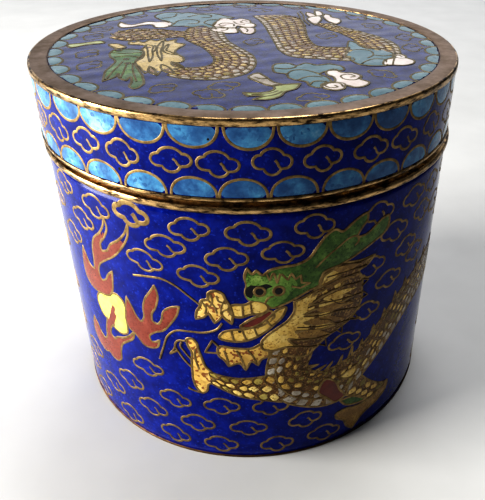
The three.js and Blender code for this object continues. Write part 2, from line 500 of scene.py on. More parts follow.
def turnFootRing():
    # A flat ring whose lower outer edge is rounded by a third of its height.
    outer = footHigh[0]
    chamfer = (footHigh[2] - footLow[2]) / 3
    profile = [[footInner, 0], [outer - chamfer, 0]]
    profile += roundCorner([outer - chamfer, chamfer], chamfer, -90, 0, 4)[1:]
    profile += [[outer, footHigh[2]], [footInner, footHigh[2]]]
    turned("foot_brass", profile, sizes["footSteps"], "foot")


def turnMouthRing():
    # The skirt inside the wall, half an ellipse for the bead, the groove, the ledge and the neck.
    relief, easing = sizes["beadRelief"], sizes["neckEasing"]
    skirtOuter = wallInner - sizes["solderGap"]
    neckOuter = lidInner - sizes["lidPlay"]
    neckInner = neckOuter - sizes["neckWall"]
    neckTop = mouthHigh[2]
    seam = mouthLow[2] + sizes["neckSkirt"] + sizes["mouthBand"]
    beadTop = mouthBottom + sizes["beadTall"]
    groove = bodyRadius - sizes["grooveDepth"]
    proud = mouthHigh[0] - bodyRadius
    profile = [[neckInner, mouthLow[2]], [skirtOuter, mouthLow[2]], [skirtOuter, mouthBottom],
               [bodyRadius - relief, mouthBottom]]
    profile += [[bodyRadius + proud * math.cos(a), mouthBottom + sizes["beadTall"] / 2 * (1 + math.sin(a))]
                for a in np.radians(np.linspace(-90, 90, 13)[1:])]
    profile += [[groove, beadTop + relief], [groove, seam], [neckOuter, seam], [neckOuter, neckTop - easing]]
    profile += roundCorner([neckOuter - easing, neckTop - easing], easing, 0, 90, 3)[1:]
    profile += [[neckInner, neckTop]]
    turned("mouth_brass", profile, sizes["roundSteps"], "rim")


def turnLid():
    # Turquoise underneath, cobalt on the side, and on top a worn cobalt whose tones are also darker as
    # painted shade, raised there by the swell.
    under = discTop - sizes["floorThickness"]
    ground = discTop - sizes["topBedding"]
    outer = lidRadius - bed
    profile = [[0, under]] + roundCorner([lidInner - fillet, under - fillet], fillet, 90, 0, 6)
    profile += [[lidInner, hemHigh[2]], [outer, hemHigh[2]]]
    start = len(profile) - 1
    profile += [[outer, level] for level in np.linspace(hemHigh[2], ringLow[2], sizes["lidLevels"])[1:]]
    profile += [[ringInner, ringLow[2]], [ringInner, ground]]
    top = len(profile) - 1
    profile += [[radius, ground] for radius in np.linspace(ringInner, 0, sizes["topRings"])[1:]]
    spans = ["turquoise"] * start + ["cobalt"] * (top - start) + ["worn cobalt"] * (len(profile) - 1 - top)
    turned("lid_ground", profile, sizes["roundSteps"], spans, lidMiddle)
    points = pieces["lid_ground"]["points"][0]
    onTop = points[:, 2] > ground - 0.001
    points[onTop, 2] += topSwell(points[onTop, 0] - lidMiddle, points[onTop, 1])


def turnHem():
    # A thin strip with its lower outer edge rounded.
    curl = sizes["hemRound"]
    profile = [[lidInner, hemLow[2]], [lidRadius - curl, hemLow[2]]]
    profile += roundCorner([lidRadius - curl, hemLow[2] + curl], curl, -90, 0, 4)[1:]
    profile += [[lidRadius, hemHigh[2] - bevel], [lidRadius - bevel, hemHigh[2]], [lidInner, hemHigh[2]]]
    turned("lid_hem_brass", profile, sizes["roundSteps"], "rim", lidMiddle)


def turnTopRing():
    # Dull on the flat, rubbed on its rounded edge and side.
    edge = sizes["ringRound"]
    profile = [[ringInner, ringLow[2]], [lidRadius - bevel, ringLow[2]], [lidRadius, ringLow[2] + bevel]]
    profile += roundCorner([lidRadius - edge, topHeight - edge], edge, 0, 90, 8)
    rounded = len(profile) - 1
    profile += [[lidRadius - sizes["ringFlatFrom"], topHeight], [ringInner + sizes["ringFlatTo"], topHeight],
                [ringInner, topHeight - bevel]]
    spans = ["rim"] * rounded + ["flat"] * 3 + ["rim"]
    turned("lid_top_brass", profile, sizes["topRingSteps"], spans, lidMiddle)


for turnPart in (turnBody, turnFootRing, turnMouthRing, turnLid, turnHem, turnTopRing):
    turnPart()
print("turned parts made")


def lobedCloud(width, height, lean):
    # Four arcs that meet in cusps: a broad one above and below, a small one at each side.
    a, b = width / 7.2, height / 4.6
    arcs = [((-0.15 + lean, 0.55), (2.25, 1.65), 158, 18), ((2.2, -0.1), (1.4, 1.15), 72, -98),
            ((0.1 - lean, -0.85), (1.65, 1.4), -20, -166), ((-2.25, 0.0), (1.35, 1.15), -88, -262)]
    points = []
    for (x, y), (rx, ry), start, end in arcs:
        turn = np.radians(np.linspace(start, end, 11))
        points.append(np.stack([(x + rx * np.cos(turn)) * a, (y + ry * np.sin(turn)) * b], 1))
    return np.vstack(points)


def cloudHook(width, height):
    # The loose end of the cloud's wire: a smooth curve turned in from its lower right cusp.
    a, b = width / 7.2, height / 4.6
    marks = [(0.45, 0.25), (0.95, -0.35), (1.15, -0.85), (1.75, -1.3)]
    return smoothCurve([(x * a, y * b) for x, y in marks])


def turnedBy(points, angle):
    # Turned about the drawing's origin: x cos a - y sin a, x sin a + y cos a.
    c, s = math.cos(angle), math.sin(angle)
    return points @ np.array([[c, s], [-s, c]])


def addCloud(part, centre, width, height, wire, tilt=0.0):
    # Bent by hand, so each one leans, turns and stretches a little differently.
    stretch = 1 + rng.uniform(-0.06, 0.06, 2)
    angle = tilt + math.radians(rng.uniform(-7, 7))
    outline = turnedBy(lobedCloud(width, height, rng.uniform(-0.25, 0.25)) * stretch, angle) + centre
    hook = turnedBy(cloudHook(width, height) * stretch, angle) + centre
    addWire(part, outline, wire, closed=True)
    addWire(part, hook, wire * 0.9)


border = {
    "count": 32,
    "upperEdge": -1.25,
    "upperDepth": 3.55,
    "lowerEdge": -13.35,
    "lowerDepth": 3.45,
    "upperPhase": -0.7,
    "lowerPhase": -1.7,
    "cloudPhase": 3.1,
    "cloudHeight": -7.3,
    "cloudWidth": 6.5,
    "cloudTall": 4.5,
    "topCount": 40,
    "topDepth": 2.7,
}


def halfRound(halfWidth, depth):
    # Half an ellipse hanging from its flat side: x = w cos a, y = -d sin a, a little squared.
    a = np.linspace(0, math.pi, 22)
    return np.stack([halfWidth * np.cos(a), -depth * np.sin(a) ** 0.85], 1)


def lidBorder():
    # Two rows of half rounds, hanging and standing, with clouds between.
    pitch = around / border["count"]
    wire = sizes["lidWire"]
    for edge, depth, phase in (
        (border["upperEdge"], border["upperDepth"], border["upperPhase"]),
        (border["lowerEdge"], -border["lowerDepth"], border["lowerPhase"]),
    ):
        for k in range(border["count"]):
            shift = rng.uniform(-0.3, 0.3)
            half = pitch / 2 - wire * 0.45 + rng.uniform(-0.15, 0.1)
            centre = np.array([phase + k * pitch + shift - around / 2, edge])
            arc = halfRound(half, depth * rng.uniform(0.94, 1.04)) + centre
            if depth < 0:
                arc = arc[::-1]
            flat = np.linspace(arc[-1], arc[0], 10)[1:-1]
            addCell("lid", "sky", np.vstack([arc, flat]), spacing=0.9, tone=rng.uniform(-0.09, 0.09))
            addWire("lid", arc, wire)
    for k in range(border["count"]):
        across = border["cloudPhase"] + k * pitch - around / 2 + rng.uniform(-0.45, 0.45)
        centre = np.array([across, border["cloudHeight"] + rng.uniform(-0.25, 0.25)])
        addCloud("lid", centre, border["cloudWidth"], border["cloudTall"], wire)


flameHigh = [
    (-39.6, -39.8), (-40.1, -36.8), (-39.5, -34), (-38.8, -31.9, 1), (-38, -33.6), (-36.8, -35.4),
    (-35.7, -35.6), (-35.1, -33.8), (-34.7, -30.6), (-33.7, -28), (-31.3, -25.8), (-30, -24),
    (-29.2, -21.8, 1), (-28.9, -24), (-30.2, -26.4), (-31.7, -28.4), (-31.5, -29.7), (-30.2, -29.3),
    (-28.6, -27.3), (-26.2, -25.5), (-24.5, -23.6), (-23.4, -21.4, 1), (-23.9, -24), (-25.6, -26.8),
    (-28.4, -29.8), (-31.2, -31.8), (-33.2, -33.5), (-34, -35.6), (-33.4, -37.2), (-32.2, -36.6),
    (-31.1, -35), (-29.6, -33.6, 1), (-30, -36), (-30.6, -38.5), (-31.9, -40.2), (-34, -40.7), (-36.1, -41.1),
    (-38.3, -40.8),
]
flameRight = [
    (-27.9, -45), (-27.7, -42), (-27.2, -39.8), (-26.8, -38.2, 1), (-25.8, -40.2), (-24.9, -42.2), (-24, -43),
    (-23.2, -42), (-22.9, -39.2), (-22.1, -36.9), (-20.9, -35.2), (-19.6, -33.2, 1), (-19.2, -35.4),
    (-20, -38.2), (-21.2, -40.6), (-21.1, -42), (-20.1, -42.3), (-19.2, -41.2), (-18.5, -39), (-17.2, -37.7),
    (-15, -36.8, 1), (-15.7, -38.9), (-17.2, -41.3), (-19, -43.5), (-21.4, -44.9), (-22.5, -46.2),
    (-22, -47.3), (-21.2, -47.1), (-20.2, -46.3, 1), (-20.9, -48.2), (-22.4, -49), (-24.2, -48.9),
    (-25.3, -47.7), (-26.3, -46.7), (-27.3, -46.2),
]
flameLow = [
    (-41.7, -54), (-41.2, -51.6), (-40.4, -50, 1), (-39.3, -51.4), (-38.2, -53), (-36.9, -53.8), (-36, -52.9),
    (-35.5, -50.6), (-34.6, -47.8), (-33.6, -45.4), (-32.5, -42.6), (-30.8, -40.8, 1), (-30.4, -43.8),
    (-31.4, -46.8), (-33.6, -49.2), (-33.9, -51), (-33.1, -51.6), (-31.8, -50.7), (-29.8, -49.8),
    (-27.9, -48.4), (-26.3, -46.6, 1), (-26.9, -48.5), (-28.7, -50.2), (-30.6, -51.9), (-31.5, -54.2),
    (-32, -56.6), (-33.3, -57.8), (-34.9, -57.8), (-36.2, -57.1), (-37.7, -57.7), (-39.7, -57),
    (-41.1, -55.8),
]
pearl = [
    (-33, -40.6), (-35.4, -41.2), (-36.7, -42.9), (-36.6, -45), (-35.4, -46.8), (-33.6, -47.5),
    (-31.8, -48.6), (-29.9, -48.8), (-28.4, -47.9), (-28, -45.6), (-28, -43.4), (-27.6, -41.5),
    (-28.2, -39.7), (-29.7, -38.9), (-31.2, -39.4),
]
flameFilledTo = -25.6  # above this the high flame's tips are wire on the cobalt ground


def flamingPearl():
    # The pearl first, and each flame laid over it.
    wire = sizes["bodyWire"]
    ball = smoothCurve(pearl, closed=True)
    addCell("body", "pearl", ball)
    addWire("body", ball, wire, closed=True)
    for flame, upTo in ((flameHigh, flameFilledTo), (flameRight, None), (flameLow, None)):
        outline = smoothCurve(flame, closed=True)
        addCell("body", "brick", outline, level=0.05, upTo=upTo)
        addWire("body", outline, wire, closed=True)


frontClouds = [
    (-42, -19.5), (-31.2, -20.4), (-11.6, -20), (-1.6, -20.3), (-36.4, -24.8), (-16.4, -24.1), (-5.5, -25.4),
    (-21, -28.2), (-10.8, -29.4), (-42.4, -30.4), (4.2, -24.3), (9.8, -19.9), (23, -20.6), (33, -20.6),
    (27.6, -26), (37.5, -25.6), (21.8, -31.8), (32, -31.2), (27.2, -36.8), (21.5, -42), (16.8, -47.8),
    (-24.3, -54.9), (-30.1, -61.4), (-18.6, -61.4), (-8.6, -61.1), (1.3, -61.2), (-36.8, -66.5),
    (-24.7, -66.5), (-14.1, -67), (-3.4, -67.1), (8.5, -66.5), (-32, -72.7), (-19.7, -72.1), (-9.4, -72.4),
    (2.4, -72.5), (12.9, -72.3), (36, -34.5), (41, -20.8), (45, -27), (-48, -24.5), (-44, -61), (-47.5, -67),
    (-43.5, -72.6),
]

mendedCloud = (-22.5, -19.2)  # its wire is thick with old solder

cloudSizes = {
    "wall": (7.2, 4.5),
    "mended": (7.3, 4.6),
    "mendedWire": 1.9,  # times a plain wire
    "top": (5.6, 4.2),
    "rows": np.arange(-20.2, -73, -5.25),  # heights of the rows behind
    "rowPitch": 10.4,
    "rowFrom": 50.5,
    "rowTo": 52,  # short of once round
    "roomByFigures": (5.0, 3.9),  # half sizes of the oval kept clear of figures
    "roomByClouds": (8.4, 4.9),  # and of the one kept clear of the front's clouds
}


def makeBand(stations):
    # A band between two edges, each a cubic through its stations. A place on it is the length
    # along its middle and the share across it, from 0 at the belly to 1 at the back.
    edges = np.array(stations, float)
    count = len(edges)
    padded = np.concatenate([2 * edges[:1] - edges[1:2], edges, 2 * edges[-1:] - edges[-2:-1]])
    u = np.linspace(0, count - 1, (count - 1) * 24 + 1)
    k = np.minimum(u.astype(int), count - 2)
    t = (u - k)[:, None, None]
    p0, p1, p2, p3 = (padded[k + j] for j in range(4))
    fine = 0.5 * (2 * p1 + (p2 - p0) * t + (2 * p0 - 5 * p1 + 4 * p2 - p3) * t**2
                  + (3 * p1 - p0 - 3 * p2 + p3) * t**3)
    middle = fine.mean(1)
    length = np.concatenate([[0], np.cumsum(np.hypot(*np.diff(middle, axis=0).T))])

    def place(along, across):
        belly, back = (
            np.stack([np.interp(along, length, fine[:, edge, d]) for d in (0, 1)], -1) for edge in (0, 1)
        )
        return belly + (back - belly) * np.asarray(across, float)[..., None]

    return place, length[-1]


def fillBand(part, enamel, place, end, level):
    # The band's own grid: along it by across it, crowned as 1 - (2v - 1) to the sixth.
    crown = 0.03
    along = np.linspace(0, end, max(3, int(end / 0.9)))
    share = np.array([0, 0.06, 0.3, 0.5, 0.7, 0.94, 1])
    a, v = np.meshgrid(along, share, indexing="ij")
    drawn = place(a, v)
    raised = level + crown * (1 - (2 * share - 1) ** 6)[None] - 0.05 * ((share == 0) | (share == 1))[None]
    raised = np.broadcast_to(raised, drawn.shape[:2])
    faces = gridFaces(len(along), len(share))
    p = drawn.reshape(-1, 2)
    a, b, c = p[faces[0, 0]], p[faces[0, 1]], p[faces[0, 2]]
    if (b[0] - a[0]) * (c[1] - a[1]) - (b[1] - a[1]) * (c[0] - a[0]) < 0:
        faces = faces[:, ::-1]
    addSurface(part + "_cells", charts[part](drawn, raised), faces, enamel)


def bandCells(part, enamel, place, along, across, halfAlong, halfAcross, level, tones, square):
    # Cells set in a band: l + h |cos a|^q, v + g |sin a|^q, with the signs of cos and sin; q squares them.
    if not len(along):
        return
    turn = np.linspace(0, 2 * math.pi, 16, endpoint=False) + math.pi / 16
    dx = np.sign(np.cos(turn)) * np.abs(np.cos(turn)) ** square
    dy = np.sign(np.sin(turn)) * np.abs(np.sin(turn)) ** square
    size = rng.uniform(0.86, 1.08, (2, len(along), 1))
    slant = rng.uniform(-0.25, 0.25, (len(along), 1))
    a = along[:, None] + halfAlong * size[0] * (dx + slant * dy)
    v = across[:, None] + halfAcross * size[1] * dy
    centres, outlines = place(along, across), place(a, v)
    area = (outlines[..., 0] * np.roll(outlines[..., 1], -1, 1)
            - np.roll(outlines[..., 0], -1, 1) * outlines[..., 1]).sum(1)
    outlines = np.where((area < 0)[:, None, None], outlines[:, ::-1], outlines)
    addStarCells(part, enamel, centres, outlines, level, 0.04, tones)


def scaledBand(part, stations, wire, plan, level=0.02):
    # A scaled band: bronze ground, a row of belly plates, rows of scale cells that thin out towards
    # the back, a curved wire behind each scale, and spines.
    place, total = makeBand(stations)
    over = level + 0.02
    if part == "body":
        reach = np.arange(0, total, 0.8)
        taken.append(place(np.repeat(reach, 5), np.tile([0, 0.25, 0.5, 0.75, 1], len(reach))))
    fillBand(part, "bronze", place, total, level)
    steps = np.arange(0, total, 0.4)
    for edge in (0.0, 1.0):
        addWire(part, place(steps, np.full(len(steps), edge)), wire, lift=level)
    belly, pitch = plan["belly"], plan["platePitch"]
    if belly:
        addWire(part, place(steps, np.full(len(steps), belly)), wire * 0.7, lift=over)
        at = np.arange(pitch / 2, total, pitch)
        at = at + rng.uniform(-0.15, 0.15, len(at))
        bandCells(part, "stone", place, at, np.full(len(at), belly / 2), pitch * 0.36, belly * 0.4,
                  over, rng.uniform(-0.12, 0.12, len(at)), 0.45)
        for spot in at[:-1] + pitch / 2:
            line = np.linspace(0, belly, 6)
            bowed = np.full(6, spot) + 0.3 * np.sin(line / belly * math.pi)
            addWire(part, place(bowed, line), wire * 0.6, lift=over)
    rows, pitch = plan["rows"], plan["scalePitch"]
    step = (1 - belly) / rows
    for row in range(rows):
        v = belly + (row + 0.5) * step
        at = np.arange(pitch * (0.5 + 0.5 * (row % 2)), total - pitch * 0.3, pitch)
        at = at + rng.uniform(-0.12, 0.12, len(at)) * pitch
        share = row / max(rows - 1, 1)
        thin = plan["thinning"] * share
        keep = rng.random(len(at)) > thin * 0.6
        pale = rng.random(len(at)) < plan["pale"] * (1 - share * 2.2)
        second = rng.random(len(at)) < plan["secondShare"]
        for enamel, use in (("stone", keep & pale), (plan["second"], keep & ~pale & second),
                            (plan["first"], keep & ~pale & ~second)):
            tones = rng.uniform(-0.15, 0.12, use.sum()) - 0.12 * share + plan["light"]
            bandCells(part, enamel, place, at[use], np.full(use.sum(), v),
                      pitch * plan["fill"] * (1 - 0.3 * thin), step * plan["fill"] * (1 - 0.45 * thin),
                      over, tones, plan["square"])
        turn = np.linspace(0, math.pi, 8)
        for spot in at:
            arc = place(spot + pitch * 0.53 * np.sin(turn), v + step * 0.56 * np.cos(turn))
            addWire(part, arc, wire * 0.6, lift=over, finish="dark wire")
    for spot in np.arange(plan["spineFrom"], total * 0.98, plan["spinePitch"]) if plan["spinePitch"] else ():
        spot = spot + rng.uniform(-0.6, 0.6)
        tall = plan["spineTall"] * rng.uniform(0.7, 1.2)
        along = np.array([spot - 0.7, spot + plan["spineLean"], spot + 0.6])
        thorn = place(along, np.array([1, 1 + tall, 1.0]))
        outline = smoothCurve([(*point, 1) for point in thorn], step=0.3)
        addWire(part, outline, wire * 0.9, lift=level)


bodyStations = [
    ((2.2, -45.6), (9.9, -45.6)), ((1.1, -48.6), (9.4, -48.9)), ((0.6, -52.4), (8.7, -51.3)),
    ((1.3, -56.6), (9.7, -53)), ((4.3, -60.5), (11.6, -54)), ((9, -63), (13.5, -53.9)),
    ((13.5, -64.1), (15.6, -53.4)), ((17.6, -63.4), (18, -52.6)), ((20.8, -60.4), (20.5, -51.2)),
    ((24.3, -57.4), (23, -49.2)), ((28, -54.4), (26, -46.4)), ((32, -51.4), (29.5, -43.6)),
    ((36, -49.2), (33.5, -41.4)), ((40.5, -48), (38, -40)),
]


backWave = {
    "start": 46, "end": 182, "step": 6.5,  # across, where the wave starts and ends, and its stations
    "crest": 47, "length": 66, "swing": 6.5,
    "height": -49.5, "rise": 2.5,  # of its middle line
    "half": 4.5, "taper": 0.6,  # half the band's width, and how much it loses
    "tailFrom": 0.55, "tailThin": 0.85,  # shares of the length and of the width
}


def waveOnBehind():
    # Round the back the body runs on as a wave: height = middle + swing cos, thinning to the tail.
    across = np.arange(backWave["start"], backWave["end"] + 1, backWave["step"])
    share = (across - backWave["start"]) / (backWave["end"] - backWave["start"])
    phase = 2 * math.pi * (across - backWave["crest"]) / backWave["length"]
    middle = backWave["height"] + backWave["swing"] * np.cos(phase) + backWave["rise"] * share
    slope = -backWave["swing"] * np.sin(phase) * 2 * math.pi / backWave["length"]
    tail = np.clip((share - backWave["tailFrom"]) / (1 - backWave["tailFrom"]), 0, 1) ** 1.3
    half = (backWave["half"] - backWave["taper"] * share) * (1 - tail * backWave["tailThin"])
    normal = np.stack([-slope, np.ones_like(slope)], 1) / np.hypot(slope, 1)[:, None]
    centre = np.stack([across, middle], 1)
    belly, back = centre - normal * half[:, None], centre + normal * half[:, None]
    return [(tuple(a), tuple(b)) for a, b in zip(belly, back)]


foreArm = [
    ((3.6, -60.2), (2, -52.4)), ((-1.2, -58.9), (-2, -53.1)), ((-4.6, -58), (-5, -53.2)),
    ((-7.4, -56.6), (-7.7, -52.8)), ((-10.2, -54.9), (-10.5, -51.9)),
]
hindLeg = [
    ((17.6, -63.3), (21.6, -59.4)), ((20.6, -64.7), (24, -62.3)), ((23.4, -67.2), (27.2, -65.2)),
    ((25, -69), (30.6, -67.1)),
]
hindFoot = [
    (31, -67.2), (30.6, -69), (28, -70.8), (25, -71.4), (22.6, -72.4), (20.2, -74.9, 1), (18.6, -73.2),
    (17.6, -70.8), (15.7, -69.2), (15.6, -68), (17.6, -67.4), (20.6, -68.2), (24.6, -68.4),
]

# each shape: enamel, level, outline
dragonShapes = {
    "maneFan": ("bronze", 0.04, [
        (11.5, -29.8, 1), (15.5, -28.9), (19.5, -29.4), (22.6, -29.3, 1), (20.8, -30.9), (19, -31.6),
        (19.9, -33.4), (20, -36), (20.1, -38.4), (19.2, -40.6), (17.8, -42.3), (15, -43.8), (12.4, -45.2),
        (10.3, -47.2), (8.6, -48.6), (5.6, -48.2), (2.6, -46.4), (4.5, -43), (9, -36)]),
    "maneFlames": ("yellow", 0.09, [
        (6.1, -35.2, 1), (8.6, -34.1), (10.9, -32.4), (11.6, -30.6), (13, -29.8), (15.6, -30, 1),
        (14.8, -31.3), (12.6, -32.2), (10.6, -33.2), (9.4, -34.4, 1), (11.4, -33.8), (13.4, -32.8),
        (16.4, -32.6, 1), (14.8, -34), (12.4, -34.8), (10.4, -35.6), (9, -36.5, 1), (11, -36.6),
        (13, -35.8), (15.4, -35.7), (17.8, -36.9, 1), (15, -37.6), (12, -37.7), (9.4, -37.8),
        (8, -38.5, 1), (10.4, -38.8), (13.9, -38.5, 1), (13, -39.9), (10.4, -40.5), (8, -40.4),
        (9.6, -41.2), (12, -41.4), (14.4, -42.6, 1), (11.2, -42.8), (8.4, -42.4), (6.4, -42.2), (8, -43.4),
        (10.4, -44.8, 1), (7, -44.4), (4.9, -43.8), (5.4, -44.6), (7, -46, 1), (4.3, -45.7), (1.5, -46.2),
        (0.1, -45.6), (-0.1, -44), (1, -42.4), (3, -40.8), (5, -39.2), (6.1, -37.3)]),
    "hair": ("green", 0.07, [
        (-2.3, -30.8), (-2.6, -29), (-2.1, -27.2, 1), (-1.2, -28.4), (-0.5, -27.7, 1), (0.5, -28.7),
        (1.8, -27.8), (4, -27.3), (6.6, -27.1), (8.6, -26.3), (10.4, -24), (12, -22), (13.6, -21.3),
        (14.9, -22), (16.8, -20.9), (18.6, -19.9), (20, -19.7), (20.1, -20.9), (18.9, -22.4),
        (18.1, -23.9), (20, -24), (22, -22.9), (23.8, -21.9), (25.2, -21.8), (25.5, -23.2), (24.6, -25),
        (22, -26.2), (18.5, -27.6), (14.5, -29), (11.6, -29.8), (11, -31.2), (10.8, -32.3), (8.9, -33.1),
        (6.4, -34.4), (4, -35.5), (2, -36), (0.9, -34.9), (-0.4, -34.3), (-2, -34), (-2.6, -32.6)]),
    "snout": ("yellow", 0.06, [
        (-5.8, -35.6), (-4.9, -35.2), (-2.6, -35), (-0.9, -34.1), (0.8, -34.8), (1.4, -36), (0.4, -37.1),
        (-2, -37.3), (-3.4, -37.9), (-4.8, -37.8), (-5.6, -36.8)]),
    "tongue": ("oxblood", 0.05, [
        (1.7, -36.6), (0, -37.5), (-2, -38.5), (-3.8, -40.2), (-1.5, -40.4), (1, -39.4), (2.4, -37.8)]),
    "jaw": ("yellow", 0.06, [
        (-7.9, -42.9), (-7.2, -41.7), (-5.4, -41), (-3, -40.7), (-0.5, -39.7), (1.6, -37.9), (3.3, -36.4),
        (4.5, -36.1), (4.2, -37.6), (2.4, -39.8), (0, -42), (-2.6, -43.4), (-5.4, -43.7)]),
    "nose": ("flecked", 0.08, [
        (-11, -36), (-10.6, -34.6), (-9.5, -34.2), (-9.2, -32.8), (-7.9, -32.2), (-6.7, -32.7),
        (-6.2, -34), (-5.6, -35.2), (-5.1, -37.4), (-5.4, -39.5, 1), (-6.4, -38.5), (-7, -37.8),
        (-7.6, -38.6), (-8.5, -39.5, 1), (-9, -38.4), (-9.5, -37.4), (-10.4, -38.3), (-12, -39, 1),
        (-11.7, -37.2)]),
    "paw": ("flecked", 0.05, [
        (-8.2, -45.3), (-5, -45.4), (-2, -45.4), (0.2, -44.4), (1.2, -45.8), (1, -47.6), (-0.2, -48.2),
        (-0.9, -49.7, 1), (-2, -48.7), (-3.3, -50.9, 1), (-4.4, -49.2), (-6.5, -50, 1), (-7.2, -48.6),
        (-8.3, -47.4)]),
    "hand": ("flecked", 0.06, [
        (-10, -52), (-11.1, -50.6), (-11.7, -48.4), (-12.2, -46.4), (-12.4, -44.9), (-13.2, -44),
        (-14.3, -44.3), (-14.3, -45.6), (-13.6, -47.4), (-13.8, -49.6), (-13.9, -52), (-13.9, -54.6),
        (-13.3, -56.8), (-12.3, -57.9), (-11.3, -57.1), (-10.9, -55.4), (-9.9, -54.4)]),
    "redPatch": ("oxblood", 0.11, [
        (12.9, -56.4), (11.2, -59.4), (13.2, -61.9), (15.4, -64), (17.4, -63), (16.2, -60.8),
        (14.9, -57.8)]),
    "yellowPatch": ("yellow", 0.11, [
        (15.8, -57.2, 1), (18, -56.2), (20.1, -55.5, 1), (19.9, -57.6), (19, -58.3), (17, -58)]),
    "face": ("moss", 0.11, [
        (-2.3, -30.8), (-2.3, -29.2), (-1.2, -28.6), (0.6, -29), (3, -28.9), (5.8, -29.8), (6.6, -31.4),
        (5.4, -33), (3.8, -35), (2, -35.8), (0.9, -34.8), (-0.4, -34.3), (-2, -34), (-2.6, -32.6)]),
    "darkEyePatch": ("black", 0.12, [
        (-2.4, -31.4), (-1.6, -30.7, 1), (-0.2, -30.9), (1.2, -30.6), (2.2, -31.2, 1), (1.2, -31.7),
        (0.9, -32.8), (0, -33.3), (-1.2, -32.8, 1), (-1.6, -33.5), (-2.3, -33.2)]),
    "streakTop": ("amber", 0.13, [(13.4, -29.4), (16, -29.4), (19.6, -30, 1), (17, -30.6), (14.6, -30.6)]),
    "streakHigh": ("amber", 0.13, [
        (11.4, -32.6), (14.4, -31.8), (18.6, -32.5, 1), (15, -32.8), (12.6, -33.4)]),
    "streakMiddle": ("yellow", 0.13, [
        (11.6, -35.8), (14.6, -34.7), (18.8, -35.2, 1), (15.2, -35.9), (13, -36.4)]),
    "streakLow": ("amber", 0.13, [(10.4, -38), (13.6, -37.2), (18.6, -38.6, 1), (14.6, -38.8), (12, -38.9)]),
    "streakBelow": ("amber", 0.13, [(8.6, -40.2), (12, -39.8), (16.6, -41.8, 1), (12.8, -41.6), (10, -41.4)]),
    "streakLast": ("amber", 0.13, [(6.6, -43), (9.6, -42.4), (13.4, -44.4, 1), (10, -44.3), (7.8, -44)]),
    "leaf": ("green", 0.05, [
        (16.4, -64.2, 1), (19.6, -64.6), (22.4, -66.6), (23.9, -67.9, 1), (20.8, -67.4), (17.9, -66.2)]),
}
# open wires drawn over the shapes
dragonLines = [
    [(10, -28.4), (12.2, -26.4), (14.4, -24.9), (16.4, -23.7), (17.9, -23.7), (18.4, -24.8), (17.6, -25.6)],
    [(3.8, -28.7, 1), (4.9, -30.1, 1), (5.6, -28.8, 1), (6.3, -30.2, 1), (7.3, -29.4, 1), (7.4, -31.1, 1),
     (9, -31.4, 1), (7.2, -32.2, 1), (5.6, -31.6)],
    [(1.2, -28.3), (1.7, -29.9, 1), (2.4, -28.4), (3, -30.6, 1), (3.6, -28.6)],
    [(0.8, -34.8), (1.5, -33.6), (2.4, -33.4)], [(-5.6, -41.1), (-5.2, -43.6)],
    [(-3.6, -40.9), (-2.9, -43.3)], [(-1.4, -40.2), (-0.8, -42.5)], [(0.8, -38.7), (1.8, -40.3)],
    [(-10.6, -34.8), (-9.8, -36.2), (-10.2, -37.6)],
    [(-8.9, -33), (-8.6, -34.6), (-9.2, -35.6), (-10.2, -35.4)],
    [(-7.8, -33.2), (-7.4, -34.4), (-6.2, -34.8)], [(-5.6, -36.2), (-6.6, -36.4), (-7.2, -37.4)],
    [(-3.3, -35.1), (-3.2, -37.7)], [(-1.8, -34.8), (-1.6, -37.3)],
    [(-9.4, -34.3), (-8.3, -35.6), (-7.9, -37.2)], [(-6.3, -34), (-7, -35.6), (-7.2, -37.4)],
    [(-8, -46.8), (-10.9, -46.9, 1), (-9.3, -43.8, 1), (-8.2, -45.2)],
    [(-7.2, -46), (-6.8, -47.6), (-6.5, -49.6)], [(-4.9, -45.9), (-4.2, -47.4), (-3.5, -50.2)],
    [(-2.8, -45.8), (-1.9, -47.2), (-1.2, -49)],
    [(-13.9, -51.4), (-15.3, -49.7), (-16.3, -48), (-16.9, -46.4), (-16.2, -45.2), (-14.6, -44.8)],
    [(-13.8, -49.3), (-15, -47.7), (-15.8, -46.1), (-15.4, -45.3)],
    [(-16.8, -46.4), (-17.4, -47.8), (-18.3, -49, 1), (-16.6, -47.8)],
    [(-12.8, -57.8), (-14, -57.6), (-15.2, -57.1)], [(-12.9, -46.4), (-13, -48.6), (-12.4, -51.6)],
    [(-11, -35.6), (-13, -33.9), (-15.2, -32.2), (-17.6, -31.3), (-20.5, -31.5), (-24, -32.2)],
    [(-7.1, -39.4), (-8, -40.8), (-10.4, -42), (-13.5, -42.3), (-16.2, -42.7), (-18.2, -44.5),
     (-19.4, -47.4), (-20.8, -51.2)],
]
maneLines = [
    [(8.6, -33.9), (11.4, -33), (14, -32.2), (19, -31.9)],
    [(9.6, -35.8), (12.4, -34.4), (15.8, -34), (19.7, -34.2)],
    [(8.6, -37), (11.2, -36.6), (14.4, -36.8), (19.9, -37)],
    [(7.8, -38.9), (11, -39.4), (14.6, -39.4), (19.2, -40.2)],
    [(6.6, -41.2), (9.4, -41.8), (12.8, -42.2), (17.4, -42.6)],
    [(5.2, -44), (8.6, -44.6), (11.6, -44.8), (14.8, -44.1)],
    [(4.6, -45.6), (7, -46), (9.2, -46.6), (10.6, -46.8)], [(12.2, -31), (15, -30.8), (20.8, -30.9)],
    [(15, -28.9), (18.4, -29.6), (22, -29.4)], [(13, -36), (15, -37.8), (17.6, -38)],
    [(11, -40.2), (13, -41), (14.6, -43)], [(19.9, -33.8), (21.4, -34.4, 1), (20, -35.4)],
    [(20, -36.6), (21.5, -38, 1), (19.9, -38.4)], [(18.6, -41.6), (19.8, -43.2, 1), (17.6, -42.5)],
    [(15.9, -43.5), (15.9, -45.3, 1), (14.7, -44.1)], [(12.3, -45.4), (12.6, -47.4, 1), (11, -46.5)],
]
wireless = {"face", "darkEyePatch", *(name for name in dragonShapes if name.startswith("streak"))}
